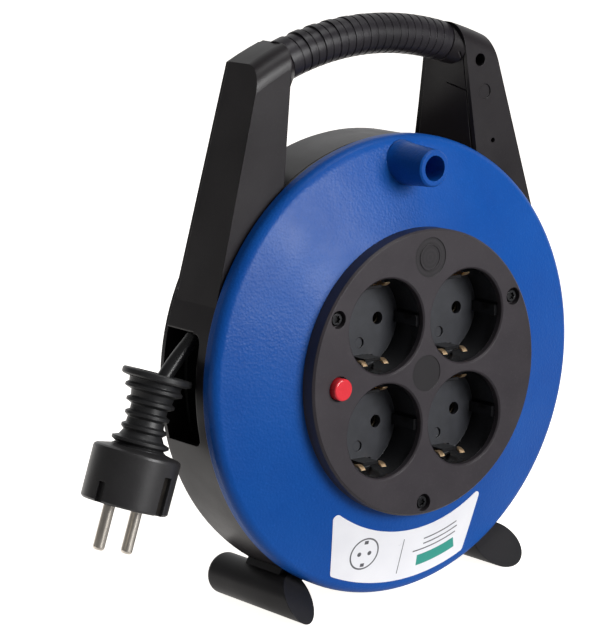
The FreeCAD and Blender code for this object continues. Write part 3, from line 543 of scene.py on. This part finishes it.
def label_print():
    """White film with a socket sign, plain rules and one accent band; no lettering."""
    g = Graph("printed_label")

    def times(a, b):
        return g.math("MULTIPLY", a, b)

    def band(value, limits, soft=SOFT_MM):
        """1 where a value is between two limits."""
        low, high = limits
        rising = g.spread(value, low - soft, low + soft)
        return times(rising, g.spread(value, high - soft, high + soft, 1.0, 0.0))

    def bar(distances, angles, soft=SOFT_DEGREES):
        """1 between two distances from the drum axis and two angles round it."""
        return times(band(reach, distances), band(degrees, angles, soft))

    across, up = drum_place(g)[:2]
    reach = distance_from(g, across, up, 0.0, 0.0)
    degrees = times(g.math("ARCTAN2", across, times(up, -1.0)), 180.0 / math.pi)
    tone = g.spread(g.noise(60.0, 4.0), 0.3, 0.7)
    film = g.mix(tone, (0.80, 0.80, 0.84), (0.86, 0.86, 0.89))
    color = g.mix(bar(*ACCENT_BAND), film, (0.02, 0.30, 0.24))
    ink = bar(*DIVIDER, soft=SOFT_DEGREES / 2)
    for rule in LABEL_RULES:
        ink = g.math("MAXIMUM", ink, bar(*rule))
    ink = g.math("MAXIMUM", ink, band(distance_from(g, across, up, SIGN_X, SIGN_Z), SIGN_RING))
    for side in (-SIGN_DOT_X, SIGN_DOT_X):
        dot = distance_from(g, across, up, SIGN_X + side, SIGN_Z)
        ink = g.math("MAXIMUM", ink, g.spread(dot, SIGN_DOT - 0.1, SIGN_DOT + 0.1, 1.0, 0.0))
    sign_up = g.math("ABSOLUTE", g.math("SUBTRACT", up, SIGN_Z))
    notch = times(band(sign_up, SIGN_NOTCH), band(across, (SIGN_X - 1.0, SIGN_X + 1.0)))
    color = g.mix(g.math("MAXIMUM", ink, notch), color, (0.09, 0.09, 0.10))
    soil = g.spread(g.noise(220.0, 5.0, 0.7), 0.62, 0.8, 0.0, 0.12)
    color = g.mix(soil, color, (0.5, 0.49, 0.47))
    rough = g.spread(g.noise(45.0, 5.0, 0.6), 0.3, 0.7, 0.26, 0.36)
    return g.finish(color, rough, 0.0, g.bump(g.noise(40.0, 3.0), 0.1, 0.0003))


dress(label_print(), "name_label")


# ---------------------------------------------------------------- floor and light
FLOOR_SIZE = 6.0
FLOOR_GLOW = 1.0
ROOM_LIGHT = 0.14
WALL_LIGHT = 0.75
WALL_DIRECTION = Vector((0.6, 0.78, 0.15))
LIT_PLACE = Vector((0.0, 0.0, 0.12))       # what the lamps point at


def make_floor():
    """A pale floor that runs to white, and lights the object a little from behind."""
    mesh = bpy.data.meshes.new("floor")
    shape = bmesh.new()
    bmesh.ops.create_grid(shape, x_segments=2, y_segments=2, size=FLOOR_SIZE)
    shape.to_mesh(mesh)
    shape.free()
    floor = bpy.data.objects.new("floor", mesh)
    bpy.context.scene.collection.objects.link(floor)
    g = Graph("floor_paper")
    paper = g.mix(g.spread(g.noise(3.0, 3.0), 0.3, 0.7), (0.86, 0.86, 0.86), (0.9, 0.9, 0.9))
    seen = g.node("ShaderNodeLightPath").outputs["Is Camera Ray"]
    color = g.mix(seen, (0.30, 0.30, 0.31), paper)
    mesh.materials.append(g.finish(color, 0.8, 0.0, specular=0.1))
    g.shader.inputs["Emission Color"].default_value = (1.0, 0.97, 0.93, 1.0)
    behind = g.spread(g.split(g.position())[1], -0.10, 0.08)
    glow = g.math("MULTIPLY", g.math("MAXIMUM", behind, seen), FLOOR_GLOW)
    g.put(g.shader.inputs["Emission Strength"], glow)


def area_light(name, direction, distance, size, power):
    """A softbox that faces the object from a direction."""
    data = bpy.data.lights.new(name, "AREA")
    data.shape = "RECTANGLE"
    data.size, data.size_y = size
    data.energy = power
    light = bpy.data.objects.new(name, data)
    outward = Vector(direction).normalized()
    light.location = LIT_PLACE + outward * distance
    light.rotation_mode = "QUATERNION"
    light.rotation_quaternion = outward.to_track_quat("Z", "Y")
    bpy.context.scene.collection.objects.link(light)


def make_world():
    """A dim studio with a pale wall behind the object; white where it is seen directly."""
    world = bpy.data.worlds.new("studio")
    bpy.context.scene.world = world
    world.use_nodes = True
    tree = world.node_tree
    background = tree.nodes["Background"]
    background.inputs[0].default_value = (1.0, 1.0, 1.0, 1.0)

    def link(a, b):
        tree.links.new(a, b)

    place = tree.nodes.new("ShaderNodeTexCoord")
    toward = tree.nodes.new("ShaderNodeVectorMath")
    toward.operation = "DOT_PRODUCT"
    toward.inputs[1].default_value = WALL_DIRECTION.normalized()
    link(place.outputs["Generated"], toward.inputs[0])
    ramp = tree.nodes.new("ShaderNodeMapRange")
    ramp.interpolation_type = "SMOOTHSTEP"
    ramp.inputs["From Min"].default_value = 0.35
    ramp.inputs["From Max"].default_value = 0.85
    ramp.inputs["To Min"].default_value = ROOM_LIGHT
    ramp.inputs["To Max"].default_value = WALL_LIGHT
    link(toward.outputs["Value"], ramp.inputs["Value"])
    path = tree.nodes.new("ShaderNodeLightPath")
    seen = tree.nodes.new("ShaderNodeMath")
    seen.operation = "MAXIMUM"
    link(ramp.outputs[0], seen.inputs[0])
    link(path.outputs["Is Camera Ray"], seen.inputs[1])
    link(seen.outputs[0], background.inputs[1])


make_floor()
make_world()
area_light("key", direction=(0.24, -0.94, 0.25), distance=1.5, size=(0.7, 0.7), power=22.5)
area_light("top", direction=(0.25, -0.35, 1.0), distance=1.4, size=(0.8, 0.4), power=4.0)
bpy.context.scene.view_settings.view_transform = "Standard"
